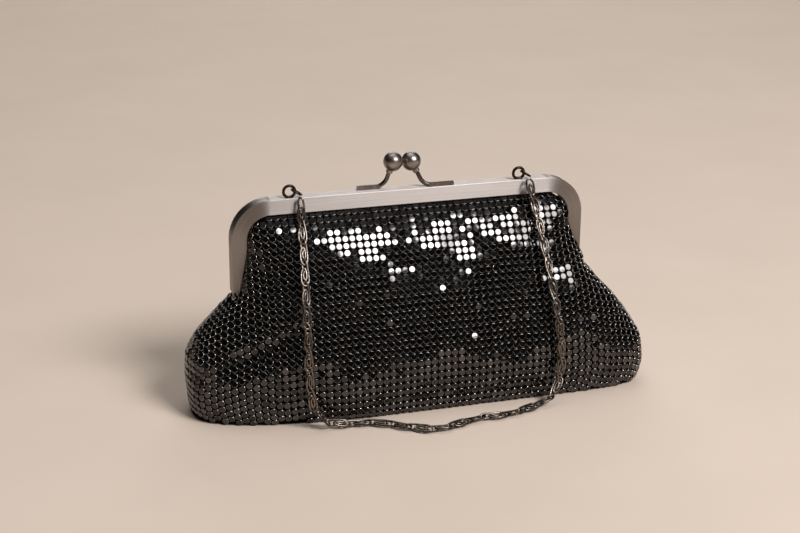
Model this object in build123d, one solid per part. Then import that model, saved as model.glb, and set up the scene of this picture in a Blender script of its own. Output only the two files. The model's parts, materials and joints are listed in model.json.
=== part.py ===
from build123d import *
import math
import os

# Evening bag with a two-part kiss-lock frame, a metal mesh body and a scroll chain.
# Millimetres. +X runs along the bag, +Y to its back, +Z up. The origin is on the floor,
# under the middle of the bag. The two halves of the frame meet at Y = 0.

# ---- driving dimensions: frame ----
FRAME_WIDTH = 205.0
FRAME_TOP = 120.0
FRAME_FACE = 8.6            # height of the frame's face along the top
CORNER_RADIUS = 22.0        # outer corners of the frame
JAW_DEPTH = 3.8             # one half of the frame, front to back
JAW_GAP = 0.3               # between the two closed halves
WALL = 0.7                  # sheet that the frame is folded from
RIM = 1.2                   # metal left between the slot and the outer edge
EDGE_ROUND = 0.4
HINGE_HEIGHT = 64.0
ARM_END = 69.0              # the arms stop here and the hinge lugs carry on down
ARM_TAPER_START = 92.0
ARM_END_WIDTH = 4.0
ARM_FOOT_BEND = 10.0        # roundings of the taper's two corners
ARM_TAPER_BEND = 20.0

# ---- driving dimensions: hinges ----
LUG_RADIUS = 3.0
LUG_THICKNESS = 1.2
LUG_INSET = 2.6             # from the frame's outer edge in to the front lug's outer face
LUG_GAP = 0.2
RIVET_RADIUS = 1.0
RIVET_HEAD_RADIUS = 2.0
RIVET_HEAD = 0.9
RUNNING_CLEARANCE = 0.05
HEAD_CLEARANCE = 0.1

# ---- driving dimensions: clasp ----
BALL_RADIUS = 5.4
STEM_RADIUS = 1.2
FOOT_HEIGHT = 2.0
FOOT_DEPTH = 2.6
COLLAR_RADIUS = 1.9
COLLAR_LENGTH = 1.7
COLLAR_SUNK = 0.5
STEM_IN_BALL = 3.0          # how far the stem reaches into the ball
CLASP_LEAN = 1.4            # each ball leans this far past the closing plane
STEM_BEND = 6.5             # where the stem rises from its foot
FOOT_SETBACK = 2.5          # from the bend's corner to the start of the flat foot
# Where each ball is along X and Z, where its arm bends, and where its foot ends.
CLASPS = {"front": (0.7, 134.4, 7.0, 24.3), "rear": (-10.7, 135.6, -14.8, -30.3)}

# ---- driving dimensions: loops, jump rings and chain ----
LOOP_RADIUS = 3.2
LOOP_WIRE = 0.8
LOOP_SUNK = 0.5             # the loop's flat foot, soldered to the frame
LOOP_X = {"left": -69.7, "right": 63.5}
RING_RADIUS = 2.9
RING_WIRE = 0.6
RING_SLACK = 0.3            # left between the ring and the loop that it hangs on
RING_PULL = (0.5, -0.8, -0.29)
RING_FACING = (0.5, 0.0, 0.866)
CHAIN_DIAMETER = 5.0

# ---- driving dimensions: soft body ----
MESH = 0.8                  # metal mesh cloth
LINING = 0.4
BOARD = 1.6                 # stiff board under the lining
BOARD_INSET = 7.0
SEAM_X = 92.0               # seams between the long panels and the rounded ends
END_TOP = 58.0              # the ends stop under the hinges
LOWER_TOP = 76.0            # the standing part of the long panels stops here
UPPER_BOTTOM = 89.0         # above this the panels move with the frame
FOLD_GAP = 0.3
HALF_GAP = 0.6              # from the closing plane to the upper panels
HINGE_NOTCH = 5.5           # half the gap that the cloth leaves round each hinge
PANEL_TOP = 111.2           # where the panels enter the frame's slot
TONGUE_TOP = 116.5
TONGUE_HALF_WIDTH = 78.0
TONGUE_SLACK = 0.05         # between the cloth and the slot's walls
CORD_RADIUS = 0.5           # paper cord that wedges the cloth in the slot
CORD_SLACK = 0.2
CORD_END = 4.0              # from the foot of the arm up to the end of the cord
POCKET_HALF_WIDTH = 42.0
POCKET_BOTTOM = 24.0
POCKET_TOP = 66.0

# Outer shape of the mesh body: height, half width, half depth, corner radius in plan.
STATIONS = [
    (0.0, 130.0, 36.0, 27.0),
    (8.0, 132.6, 38.3, 29.0),
    (22.0, 134.5, 40.0, 31.0),
    (34.0, 131.5, 39.4, 31.0),
    (45.0, 124.5, 37.6, 30.0),
    (58.0, 111.0, 33.4, 26.0),
    (66.0, 101.0, 30.2, 22.0),
    (76.0, 93.5, 26.0, 18.0),
    (89.0, 91.5, 19.0, 13.0),
    (100.0, 90.0, 11.8, 9.0),
    (108.0, 85.0, 5.8, 4.5),
    (PANEL_TOP, 79.0, 3.2, 2.4),
]

# ---- values that follow ----
HALF_WIDTH = FRAME_WIDTH / 2
JAW_BACK = JAW_GAP / 2
JAW_FRONT = JAW_BACK + JAW_DEPTH
JAW_MIDDLE = JAW_BACK + JAW_DEPTH / 2
SLOT_FRONT = JAW_FRONT - WALL
SLOT_BACK = JAW_BACK + WALL
# Depths of the two cloth edges in the slot, front and back, in front of the closing plane.
MESH_TONGUE = (SLOT_FRONT - TONGUE_SLACK, SLOT_FRONT - TONGUE_SLACK - MESH)
LINING_TONGUE = (SLOT_BACK + TONGUE_SLACK + LINING, SLOT_BACK + TONGUE_SLACK)
BEYOND = 200.0              # well outside the bag, for boxes that cut it
SIDES = {"left": -1, "right": 1}
JAWS = {"front": -1, "rear": 1}

FLOOR = CHAIN_DIAMETER / 2 + 0.1
# The chain hangs from the left jump ring, down the front panel, along the floor and up again.
CHAIN_ROUTE = [
    (-64.8, -7.7, 119.9),
    (-65.0, -8.9, 109.5),
    (-66.6, -19.8, 95.5),
    (-68.8, -31.8, 75.0),
    (-70.2, -41.0, 50.0),
    (-70.4, -44.2, 28.0),
    (-69.6, -44.6, 13.0),
    (-60.0, -44.9, FLOOR),
    (-41.0, -44.4, FLOOR),
    (-25.0, -52.0, FLOOR),
    (-13.0, -65.0, FLOOR),
    (4.5, -65.0, FLOOR),
    (22.0, -56.4, FLOOR),
    (39.0, -59.6, FLOOR),
    (53.5, -53.0, FLOOR),
    (67.0, -50.0, FLOOR),
    (75.6, -44.8, 13.0),
    (76.3, -44.3, 30.0),
    (74.3, -40.6, 51.0),
    (71.8, -31.8, 75.0),
    (70.8, -19.8, 95.5),
    (70.2, -9.0, 109.5),
    (67.8, -7.7, 119.9),
]


def facing_front(y):
    """A work plane at depth y with X and Z as its directions, facing the front."""
    return Plane(origin=(0, y, 0), x_dir=(1, 0, 0), z_dir=(0, -1, 0))


def slab(face, y_back, y_front):
    """A face drawn in X and Z, made solid from y_back forward to y_front."""
    return extrude(facing_front(y_back) * face, amount=y_back - y_front, dir=(0, -1, 0))


def block(x, y, z):
    """A box between the two limits given for each direction."""
    size = [high - low for low, high in (x, y, z)]
    middle = [(high + low) / 2 for low, high in (x, y, z)]
    return Pos(*middle) * Box(*size)


# ---- frame ----
def arch_face(inset, bottom):
    """The space under the frame's outer edge, less an inset, down to a level."""
    side = HALF_WIDTH - inset
    top = FRAME_TOP - inset
    outline = FilletPolyline(
        (-side, bottom), (-side, top), (side, top), (side, bottom), radius=CORNER_RADIUS - inset
    )
    return make_face(outline + Line((side, bottom), (-side, bottom)))


def opening_face(bottom):
    """The space inside the frame, between its tapered arms."""
    inner = HALF_WIDTH - FRAME_FACE
    foot = HALF_WIDTH - ARM_END_WIDTH
    top = FRAME_TOP - FRAME_FACE
    corner = CORNER_RADIUS - FRAME_FACE
    outline = FilletPolyline(
        (-foot, bottom),
        (-foot, ARM_END),
        (-inner, ARM_TAPER_START),
        (-inner, top),
        (inner, top),
        (inner, ARM_TAPER_START),
        (foot, ARM_END),
        (foot, bottom),
        radius=[ARM_FOOT_BEND, ARM_TAPER_BEND, corner, corner, ARM_TAPER_BEND, ARM_FOOT_BEND],
    )
    return make_face(outline + Line((foot, bottom), (-foot, bottom)))


def front_channel():
    """The front half of the frame without its lugs: an arch with a slot round its inside."""
    face = arch_face(0, ARM_END) - opening_face(ARM_END - 10)
    slot = slab(arch_face(RIM, ARM_END + RIM), -SLOT_BACK, -SLOT_FRONT)
    channel = slab(face, -JAW_BACK, -JAW_FRONT) - slot
    front_edges = channel.edges().filter_by_position(Axis.Y, -JAW_FRONT - 0.01, -JAW_FRONT + 0.01)
    return fillet(front_edges, EDGE_ROUND)


def lug(x_low, x_high, hole_radius):
    """A hinge lug on the front half: an eye round the hinge line and a neck up to the arm."""
    eye = Rot(0, 90, 0) * Cylinder(LUG_RADIUS, x_high - x_low)
    eye = Pos((x_low + x_high) / 2, 0, HINGE_HEIGHT) * eye
    neck = block((x_low, x_high), (-JAW_FRONT, -JAW_BACK), (HINGE_HEIGHT, ARM_END + RIM / 2))
    hole = Pos((x_low + x_high) / 2, 0, HINGE_HEIGHT) * Rot(0, 90, 0) * Cylinder(hole_radius, 10)
    return eye + neck - hole


def lug_spans():
    """Where each half's lug lies along X, on the right side."""
    outer = HALF_WIDTH - LUG_INSET
    front = (outer - LUG_THICKNESS, outer)
    rear = (outer + LUG_GAP, outer + LUG_GAP + LUG_THICKNESS)
    return {"front": front, "rear": rear}


def half_frame(jaw):
    """One half of the frame with a hinge lug at the foot of each arm."""
    clearance = RUNNING_CLEARANCE if jaw == "front" else 0
    low, high = lug_spans()[jaw]
    right_lug = lug(low, high, RIVET_RADIUS + clearance)
    half = front_channel() + right_lug + mirror(right_lug, Plane.YZ)
    if jaw == "rear":
        half = mirror(half, Plane.XZ)
    return half


def hinge_rivet(side):
    """A headed rivet through the two lugs of one side. It is tight in the rear lug."""
    spans = lug_spans()
    inner = spans["front"][0] - HEAD_CLEARANCE
    outer = spans["rear"][1]
    shank = Cylinder(RIVET_RADIUS, outer - inner)
    head_at = (outer - inner + RIVET_HEAD) / 2
    heads = Pos(0, 0, head_at) * Cylinder(RIVET_HEAD_RADIUS, RIVET_HEAD)
    heads += Pos(0, 0, -head_at) * Cylinder(RIVET_HEAD_RADIUS, RIVET_HEAD)
    rivet = Pos((inner + outer) / 2, 0, HINGE_HEIGHT) * Rot(0, 90, 0) * (shank + heads)
    return rivet if side == "right" else mirror(rivet, Plane.YZ)


def paper_cord():
    """The cord wedged in the front half's slot, all the way round the arch."""
    inset = FRAME_FACE / 2
    side = HALF_WIDTH - RIM - CORD_RADIUS - CORD_SLACK
    top = FRAME_TOP - inset
    y = -(MESH_TONGUE[1] + LINING_TONGUE[0]) / 2
    path = FilletPolyline(
        (-side, y, ARM_END + CORD_END),
        (-side, y, top),
        (side, y, top),
        (side, y, ARM_END + CORD_END),
        radius=CORNER_RADIUS - inset,
    )
    return sweep(Plane(path @ 0, z_dir=path % 0) * Circle(CORD_RADIUS), path=path)


# ---- clasp ----
def under_frame_top():
    """All the space below the frame's top, to cut flat feet with."""
    return block((-BEYOND, BEYOND), (-BEYOND, BEYOND), (0, FRAME_TOP))


def clasp(jaw):
    """A bent arm whose foot lies along the frame's top, and the ball on its end."""
    ball_x, ball_z, bend_x, foot_end_x = CLASPS[jaw]
    sign = JAWS[jaw]
    foot_y = sign * JAW_MIDDLE
    foot_z = FRAME_TOP + STEM_RADIUS
    centre = Vector(ball_x, -sign * CLASP_LEAN, ball_z)
    bend = Vector(bend_x, foot_y, foot_z)
    down = (bend - centre).normalized()
    tip = centre + down * (BALL_RADIUS - STEM_IN_BALL)
    path = FilletPolyline(tip, bend, (foot_end_x, foot_y, foot_z), radius=STEM_BEND)
    arm = sweep(Plane(path @ 0, z_dir=path % 0) * Circle(STEM_RADIUS), path=path)
    foot_start = bend_x + math.copysign(FOOT_SETBACK, foot_end_x - bend_x)
    foot_x = sorted((foot_start, foot_end_x))
    foot = block(
        foot_x,
        (foot_y - FOOT_DEPTH / 2, foot_y + FOOT_DEPTH / 2),
        (FRAME_TOP, FRAME_TOP + FOOT_HEIGHT),
    )
    arm = arm + foot - under_frame_top()
    collar_at = centre + down * (BALL_RADIUS + COLLAR_LENGTH / 2 - COLLAR_SUNK)
    collar = Plane(collar_at, z_dir=down) * Cylinder(COLLAR_RADIUS, COLLAR_LENGTH)
    ball = Pos(*centre) * Sphere(BALL_RADIUS) + collar - arm
    return arm, ball


# ---- loops and jump rings ----
def loop_centre(side):
    """The middle of the left or right frame loop."""
    return Vector(LOOP_X[side], -JAW_MIDDLE, FRAME_TOP + LOOP_RADIUS + LOOP_WIRE - LOOP_SUNK)


def frame_loop(side):
    """An upright wire loop with a flat foot on top of the front half."""
    loop = Pos(*loop_centre(side)) * Rot(90, 0, 0) * Torus(LOOP_RADIUS, LOOP_WIRE)
    return loop - under_frame_top()


def jump_ring(side):
    """The ring that joins the loop to the chain, pulled forward off the loop's right side."""
    wire = loop_centre(side) + Vector(LOOP_RADIUS, 0, 0)
    reach = RING_RADIUS - RING_WIRE - LOOP_WIRE - RING_SLACK
    centre = wire + Vector(*RING_PULL).normalized() * reach
    return Plane(centre, z_dir=RING_FACING) * Torus(RING_RADIUS, RING_WIRE)


# ---- chain ----
def chain_radii(points):
    """The largest tangent arc that each corner of a route has room for."""
    radii = []
    for before, here, after in zip(points, points[1:], points[2:]):
        run_in = Vector(*here) - Vector(*before)
        run_out = Vector(*after) - Vector(*here)
        half_turn = math.radians(run_in.get_angle(run_out)) / 2
        shorter = min(run_in.length, run_out.length)
        radii.append(0.45 * shorter / math.tan(half_turn))
    return radii


def chain():
    """The scroll chain as a plain tube along its whole route."""
    radii = chain_radii(CHAIN_ROUTE)
    path = FilletPolyline(*CHAIN_ROUTE, radius=radii)
    tube = sweep(Plane(path @ 0, z_dir=path % 0) * Circle(CHAIN_DIAMETER / 2), path=path)
    section = math.pi * CHAIN_DIAMETER**2 / 4
    print("chain radii", [round(radius, 1) for radius in radii])
    print("chain length", round(path.length, 1), "volume", round(tube.volume, 1))
    print("section times length", round(section * path.length, 1))
    return tube


# ---- soft body ----
def outline_at(height):
    """Half width, half depth and corner radius of the mesh body at a height."""
    for low, high in zip(STATIONS, STATIONS[1:]):
        if low[0] <= height <= high[0]:
            share = (height - low[0]) / (high[0] - low[0])
            return [a + (b - a) * share for a, b in zip(low[1:], high[1:])]
    return list(STATIONS[-1][1:])


def body_core(inset, bottom):
    """The body's shape, filled, with its walls moved in by an inset, from a level up."""
    heights = [bottom] + [station[0] for station in STATIONS if station[0] > bottom + 0.5]
    sections = []
    for height in heights:
        width, depth, radius = outline_at(height)
        corner = max(radius - inset, 0.4)
        outline = RectangleRounded(2 * (width - inset), 2 * (depth - inset), corner)
        sections.append(Pos(0, 0, height) * outline)
    return loft(sections, ruled=True)


def layer(inset, thickness, bottom):
    """One layer of the body's wall, open at the bottom and the top."""
    return body_core(inset, bottom) - body_core(inset + thickness, bottom)


def front_zone(low, high, half_width=SEAM_X, y_back=0.0):
    """The space in front of the closing plane that one panel may take."""
    return block((-half_width, half_width), (-BEYOND, -y_back), (low, high))


def tongue(depths):
    """The edge of the cloth inside the frame's slot."""
    x = (-TONGUE_HALF_WIDTH, TONGUE_HALF_WIDTH)
    return block(x, (-depths[0], -depths[1]), (PANEL_TOP, TONGUE_TOP))


def fold_zone():
    """The space for the cloth that creases: a band in front, and down to the ends beside the hinges."""
    top = UPPER_BOTTOM - FOLD_GAP
    zone = front_zone(LOWER_TOP, top)
    for side in SIDES.values():
        x = sorted((side * SEAM_X, side * BEYOND))
        zone += block(x, (-BEYOND, -HINGE_NOTCH), (END_TOP, top))
    return zone


def long_panels(cloth, wall, tongue_depths):
    """The front panel of one cloth in its three stretches: lower, fold and upper."""
    lower = wall & front_zone(MESH, LOWER_TOP)
    fold = wall & fold_zone()
    upper = wall & front_zone(UPPER_BOTTOM, PANEL_TOP, half_width=BEYOND, y_back=HALF_GAP)
    upper += tongue(tongue_depths)
    return {cloth + "_lower": lower, cloth + "_fold": fold, cloth + "_upper": upper}


def mesh_end(wall):
    """The rounded right end of the mesh body."""
    return wall & block((SEAM_X, BEYOND), (-BEYOND, BEYOND), (MESH, END_TOP))


def lining_bag():
    """The lower lining: a floor and walls sewn as one pouch."""
    floor = MESH + BOARD
    pouch = body_core(MESH, floor) - body_core(MESH + LINING, floor + LINING)
    middle = block((-SEAM_X, SEAM_X), (-BEYOND, BEYOND), (floor, LOWER_TOP))
    ends = block((-BEYOND, BEYOND), (-BEYOND, BEYOND), (floor, END_TOP))
    return pouch & (middle + ends)


def base_board():
    """The stiff board that keeps the bag's base flat."""
    width, depth, radius = outline_at(MESH)
    corner = radius - BOARD_INSET
    outline = RectangleRounded(2 * (width - BOARD_INSET), 2 * (depth - BOARD_INSET), corner)
    return extrude(Pos(0, 0, MESH) * outline, amount=BOARD)


def slip_pocket():
    """A flat pocket sewn to the rear lining, open at its top."""
    pocket = layer(MESH + LINING, LINING, MESH + BOARD + LINING)
    x = (-POCKET_HALF_WIDTH, POCKET_HALF_WIDTH)
    return pocket & block(x, (0, BEYOND), (POCKET_BOTTOM, POCKET_TOP))


def make_nodes():
    """Every piece by the name of its node."""
    nodes = {}
    nodes["front_frame"] = half_frame("front")
    nodes["rear_frame"] = half_frame("rear")
    nodes["front_paper_cord"] = paper_cord()
    nodes["rear_paper_cord"] = mirror(nodes["front_paper_cord"], Plane.XZ)
    for side in SIDES:
        nodes[side + "_hinge_rivet"] = hinge_rivet(side)

        nodes[side + "_frame_loop"] = frame_loop(side)
        nodes[side + "_jump_ring"] = jump_ring(side)
    for jaw in JAWS:
        nodes[jaw + "_clasp_arm"], nodes[jaw + "_clasp_ball"] = clasp(jaw)
    nodes["chain"] = chain()

    mesh_wall = layer(0, MESH, 0)
    lining_wall = layer(MESH, LINING, MESH)
    panels = long_panels("mesh", mesh_wall, MESH_TONGUE)
    panels.update(long_panels("lining", lining_wall, LINING_TONGUE))
    del panels["lining_lower"]  # the pouch below holds this stretch
    for stretch, panel in panels.items():
        nodes["front_" + stretch] = panel
        nodes["rear_" + stretch] = mirror(panel, Plane.XZ)
    nodes["right_mesh_end"] = mesh_end(mesh_wall)
    nodes["left_mesh_end"] = mirror(nodes["right_mesh_end"], Plane.YZ)
    base_layer = block((-BEYOND, BEYOND), (-BEYOND, BEYOND), (0, MESH))
    nodes["base_mesh"] = body_core(0, 0) & base_layer
    nodes["base_board"] = base_board()
    nodes["lining_bag"] = lining_bag()
    nodes["slip_pocket"] = slip_pocket()
    return nodes


os.makedirs("parts", exist_ok=True)
for name, shape in make_nodes().items():
    export_step(shape, "parts/" + name + ".step")
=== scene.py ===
"""The looks of a kiss-lock evening bag of black disc mesh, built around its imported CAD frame.

Lengths are in metres. X runs along the bag, -Y is its front and Z is up. Sizes of the cloth and of the
small metal parts are written in millimetres and multiplied by MM where they are used.
"""

import json
import math

import bpy
import numpy as np
from mathutils import Matrix, Vector


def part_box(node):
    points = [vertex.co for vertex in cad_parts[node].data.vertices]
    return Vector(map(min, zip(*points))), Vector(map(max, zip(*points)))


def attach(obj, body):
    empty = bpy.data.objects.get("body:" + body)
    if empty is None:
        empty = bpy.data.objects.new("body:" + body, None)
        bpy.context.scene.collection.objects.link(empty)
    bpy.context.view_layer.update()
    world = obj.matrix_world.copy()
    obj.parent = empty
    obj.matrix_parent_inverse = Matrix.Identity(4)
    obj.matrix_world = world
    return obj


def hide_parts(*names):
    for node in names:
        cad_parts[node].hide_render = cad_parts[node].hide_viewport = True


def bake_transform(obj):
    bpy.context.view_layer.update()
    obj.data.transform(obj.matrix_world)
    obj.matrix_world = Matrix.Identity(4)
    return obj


MM = 0.001
FRONT, REAR = -1, 1
LEFT, RIGHT = -1, 1

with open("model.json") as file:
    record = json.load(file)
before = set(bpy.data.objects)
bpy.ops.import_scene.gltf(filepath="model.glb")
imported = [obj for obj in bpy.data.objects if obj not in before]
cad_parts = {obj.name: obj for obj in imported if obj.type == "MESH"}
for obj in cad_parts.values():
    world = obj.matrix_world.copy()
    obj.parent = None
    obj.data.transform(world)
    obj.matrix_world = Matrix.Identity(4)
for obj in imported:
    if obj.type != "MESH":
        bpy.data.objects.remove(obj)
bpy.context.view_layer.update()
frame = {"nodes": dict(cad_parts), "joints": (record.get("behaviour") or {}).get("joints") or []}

FRAME_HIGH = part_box("front_frame")[1]
FRAME_CORNER = 22 * MM
HINGE_HEIGHT = frame["joints"][0]["pos_m"][2]


def add_object(name, data):
    """A new object in the scene."""
    made = bpy.data.objects.new(name, data)
    bpy.context.scene.collection.objects.link(made)
    return made


# ------------------------------------------------ camera

CAMERA_TURN = math.radians(18.014)
CAMERA_DROP = math.radians(18.614)
CAMERA_ROLL = math.radians(0.389)
CAMERA_DISTANCE = 0.9004
CAMERA_LENS = 72
CAMERA_NEAR = 10 * MM
CAMERA_AIM = Vector((-0.0058, 0.0, 0.0739))


def make_camera():
    """A camera at the photograph's angle: to the left of the bag's front and above it."""
    camera = add_object("camera", bpy.data.cameras.new("camera"))
    forward = Vector((
        math.sin(CAMERA_TURN) * math.cos(CAMERA_DROP),
        math.cos(CAMERA_TURN) * math.cos(CAMERA_DROP),
        -math.sin(CAMERA_DROP),
    ))
    turn = forward.to_track_quat("-Z", "Y") @ Matrix.Rotation(CAMERA_ROLL, 3, "Z").to_quaternion()
    camera.rotation_mode = "QUATERNION"
    camera.rotation_quaternion = turn
    camera.location = CAMERA_AIM - forward * CAMERA_DISTANCE
    camera.data.lens = CAMERA_LENS
    camera.data.clip_start = CAMERA_NEAR
    bpy.context.scene.camera = camera


# ------------------------------------------------ materials

# How deep each kind of surface relief is.
SCRATCH_DEPTH = 0.1 * MM
FIBRE_DEPTH = 0.2 * MM
WEAVE_DEPTH = 0.3 * MM


def set_stops(ramp, stops):
    """Gives a colour ramp node its (position, colour) stops."""
    elements = ramp.color_ramp.elements
    while len(elements) < len(stops):
        elements.new(0.5)
    for element, (position, colour) in zip(elements, stops):
        element.position = position
        element.color = (*colour, 1)


class Paint:
    """A small helper that builds one node material round a Principled shader."""

    def __init__(self, name):
        self.material = bpy.data.materials.new(name)
        self.material.use_nodes = True
        self.nodes = self.material.node_tree.nodes
        self.links = self.material.node_tree.links
        self.shader = self.nodes["Principled BSDF"]

    def set(self, **values):
        """Sets plain values on the shader, such as metallic=1.0."""
        for name, value in values.items():
            socket = name.replace("_", " ").title().replace("Ior", "IOR")
            self.shader.inputs[socket].default_value = value
        return self

    def add(self, kind, **values):
        """A new node with plain values, each for a socket or, if it has no such socket, a property."""
        node = self.nodes.new(kind)
        for name, value in values.items():
            socket = name.replace("_", " ").title()
            if socket in node.inputs:
                node.inputs[socket].default_value = value
            else:
                setattr(node, name, value)
        return node

    def join(self, source, target):
        """Links an output socket to an input socket."""
        self.links.new(source, target)

    def place(self, stretch=(1, 1, 1)):
        """The point on the object, in metres, scaled by stretch."""
        coordinates = self.add("ShaderNodeTexCoord")
        mapping = self.add("ShaderNodeMapping")
        mapping.inputs["Scale"].default_value = stretch
        self.join(coordinates.outputs["Object"], mapping.inputs["Vector"])
        return mapping.outputs["Vector"]

    def noise(self, scale, stretch=(1, 1, 1), detail=3.0, roughness=0.5):
        """Cloudy values from 0 to 1, scale to the metre."""
        noise = self.add("ShaderNodeTexNoise", scale=scale, detail=detail, roughness=roughness)
        self.join(self.place(stretch), noise.inputs["Vector"])
        return noise.outputs["Fac"]

    def ramp(self, value, *stops):
        """Maps a value from 0 to 1 onto (position, colour) stops."""
        ramp = self.add("ShaderNodeValToRGB")
        set_stops(ramp, stops)
        self.join(value, ramp.inputs["Fac"])
        return ramp.outputs["Color"]

    def grey(self, value, low, high):
        """Maps a value from 0 to 1 onto low to high."""
        span = self.add("ShaderNodeMapRange")
        span.inputs["To Min"].default_value = low
        span.inputs["To Max"].default_value = high
        self.join(value, span.inputs["Value"])
        return span.outputs["Result"]

    def mixed(self, share, first, second):
        """A colour between two colours or colour sockets."""
        mix = self.add("ShaderNodeMix", data_type="RGBA")
        self.join(share, mix.inputs[0])
        for value, socket in ((first, mix.inputs[6]), (second, mix.inputs[7])):
            if isinstance(value, tuple):
                socket.default_value = (*value, 1)
            else:
                self.join(value, socket)
        return mix.outputs[2]

    def attribute(self, name):
        """A float that the mesh holds for each of its points."""
        return self.add("ShaderNodeAttribute", attribute_name=name).outputs["Fac"]

    def bump(self, height, strength, distance):
        """Raises the surface by distance where height is 1."""
        bump = self.add("ShaderNodeBump", strength=strength, distance=distance)
        self.join(height, bump.inputs["Height"])
        self.join(bump.outputs["Normal"], self.shader.inputs["Normal"])


def disc_paint():
    """Black-nickel discs: each one a slightly different grey, with fine rub marks, and a rim painted paler
    as a highlight, which brightens the lights' crescent glints on it.
    """
    paint = Paint("disc_metal").set(metallic=1.0)
    own = paint.attribute("disc_tone")
    # Painted highlight: where this is high, the rim is painted paler so that the lights' crescent glints on
    # it look brighter.
    rim = paint.attribute("disc_rim_highlight")
    darkest, usual, palest = (0.045, 0.042, 0.041), (0.065, 0.061, 0.060), (0.10, 0.094, 0.092)
    tone = paint.ramp(own, (0.0, darkest), (0.6, usual), (1.0, palest))
    # The pale colour here is the painted rim highlight.
    colour = paint.mixed(rim, tone, (0.24, 0.228, 0.22))
    paint.join(colour, paint.shader.inputs["Base Color"])
    rubbed = paint.noise(1900, detail=2.0)
    paint.join(paint.grey(rubbed, 0.05, 0.10), paint.shader.inputs["Roughness"])
    paint.bump(paint.noise(1300, detail=1.0), 0.03, SCRATCH_DEPTH)
    return paint.material


def backing_paint():
    """The dark links and cloth behind the discs."""
    paint = Paint("mesh_backing").set(specular_ior_level=0.02)
    cells = paint.add("ShaderNodeTexVoronoi", scale=900.0)
    paint.join(paint.place(), cells.inputs["Vector"])
    weave = cells.outputs["Distance"]
    colour = paint.ramp(weave, (0.0, (0.004, 0.0035, 0.0035)), (0.8, (0.0015, 0.0015, 0.0015)))
    paint.join(colour, paint.shader.inputs["Base Color"])
    paint.join(paint.grey(weave, 0.6, 0.85), paint.shader.inputs["Roughness"])
    paint.bump(weave, 0.4, WEAVE_DEPTH)
    return paint.material


# How much the brushing's cross direction leans to the rear, beside a length of up to FRAME_CORNER.
POINTS_BACK = 3 * MM
# Brush marks are packed closely across the bar and drawn out along it.
BRUSH_STRETCH = (9, 0.12, 1)


def across_frame(paint):
    """The direction across the frame's bar, how far across a point lies, and how far along it.

    The direction points up on the top bar, sideways on the arms and outwards round the corners. A little of
    it also points back, which turns it across the faces that look up or sideways.
    """
    split = paint.add("ShaderNodeSeparateXYZ")
    paint.join(paint.place(), split.inputs["Vector"])

    def step(operation, value, other):
        node = paint.add("ShaderNodeMath", operation=operation)
        paint.join(value, node.inputs[0])
        if isinstance(other, float):
            node.inputs[1].default_value = other
        else:
            paint.join(other, node.inputs[1])
        return node.outputs[0]

    x, z = split.outputs["X"], split.outputs["Z"]
    from_middle = step("ABSOLUTE", x, 0.0)
    outside = step("MAXIMUM", step("SUBTRACT", from_middle, FRAME_HIGH.x - FRAME_CORNER), 0.0)
    above = step("MAXIMUM", step("SUBTRACT", z, FRAME_HIGH.z - FRAME_CORNER), 0.0)
    direction = paint.add("ShaderNodeCombineXYZ")
    paint.join(step("MULTIPLY", outside, step("SIGN", x, 0.0)), direction.inputs["X"])
    paint.join(above, direction.inputs["Z"])
    direction.inputs["Y"].default_value = POINTS_BACK
    length = paint.add("ShaderNodeVectorMath", operation="LENGTH")
    paint.join(direction.outputs["Vector"], length.inputs[0])
    along = step("SUBTRACT", from_middle, z)
    return direction.outputs["Vector"], length.outputs["Value"], along


def nickel_paint():
    """Satin nickel, brushed lengthwise along the bar, round the corners and down the arms."""
    paint = Paint("satin_nickel").set(metallic=1.0, anisotropic=0.95)
    direction, across, along = across_frame(paint)
    paint.join(direction, paint.shader.inputs["Tangent"])
    on_bar = paint.add("ShaderNodeCombineXYZ")
    paint.join(across, on_bar.inputs["X"])
    paint.join(along, on_bar.inputs["Y"])
    stretch = paint.add("ShaderNodeMapping")
    stretch.inputs["Scale"].default_value = BRUSH_STRETCH
    paint.join(on_bar.outputs["Vector"], stretch.inputs["Vector"])
    hairlines = paint.add("ShaderNodeTexNoise", scale=160.0, detail=6.0, roughness=0.65)
    paint.join(stretch.outputs["Vector"], hairlines.inputs["Vector"])
    brushed = hairlines.outputs["Fac"]
    marks = paint.noise(38, detail=4.0)
    tone = paint.ramp(brushed, (0.3, (0.28, 0.25, 0.235)), (0.7, (0.37, 0.34, 0.325)))
    colour = paint.mixed(paint.grey(marks, 0.0, 0.3), tone, (0.26, 0.22, 0.20))
    paint.join(colour, paint.shader.inputs["Base Color"])
    paint.join(paint.grey(brushed, 0.40, 0.48), paint.shader.inputs["Roughness"])
    paint.bump(brushed, 0.10, SCRATCH_DEPTH)
    return paint.material


def arm_paint():
    """The clasp's bent wires: polished, darker than the frame, with fine scratches."""
    paint = Paint("polished_wire").set(metallic=1.0)
    scratches = paint.noise(700, stretch=(1, 1, 0.3), detail=4.0)
    colour = paint.ramp(scratches, (0.3, (0.08, 0.066, 0.058)), (0.75, (0.20, 0.175, 0.16)))
    paint.join(colour, paint.shader.inputs["Base Color"])
    paint.join(paint.grey(scratches, 0.16, 0.28), paint.shader.inputs["Roughness"])
    paint.bump(scratches, 0.08, SCRATCH_DEPTH)
    return paint.material


def pewter_paint():
    """Aged pewter of the clasp: darker in patches, softly polished."""
    paint = Paint("aged_pewter").set(metallic=1.0)
    patches = paint.noise(260, detail=5.0, roughness=0.6)
    dark, usual, pale = (0.20, 0.17, 0.155), (0.31, 0.275, 0.25), (0.42, 0.385, 0.355)
    colour = paint.ramp(patches, (0.3, dark), (0.55, usual), (0.8, pale))
    paint.join(colour, paint.shader.inputs["Base Color"])
    paint.join(paint.grey(patches, 0.40, 0.28), paint.shader.inputs["Roughness"])
    paint.bump(paint.noise(1400, detail=3.0), 0.12, SCRATCH_DEPTH)
    return paint.material


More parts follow.
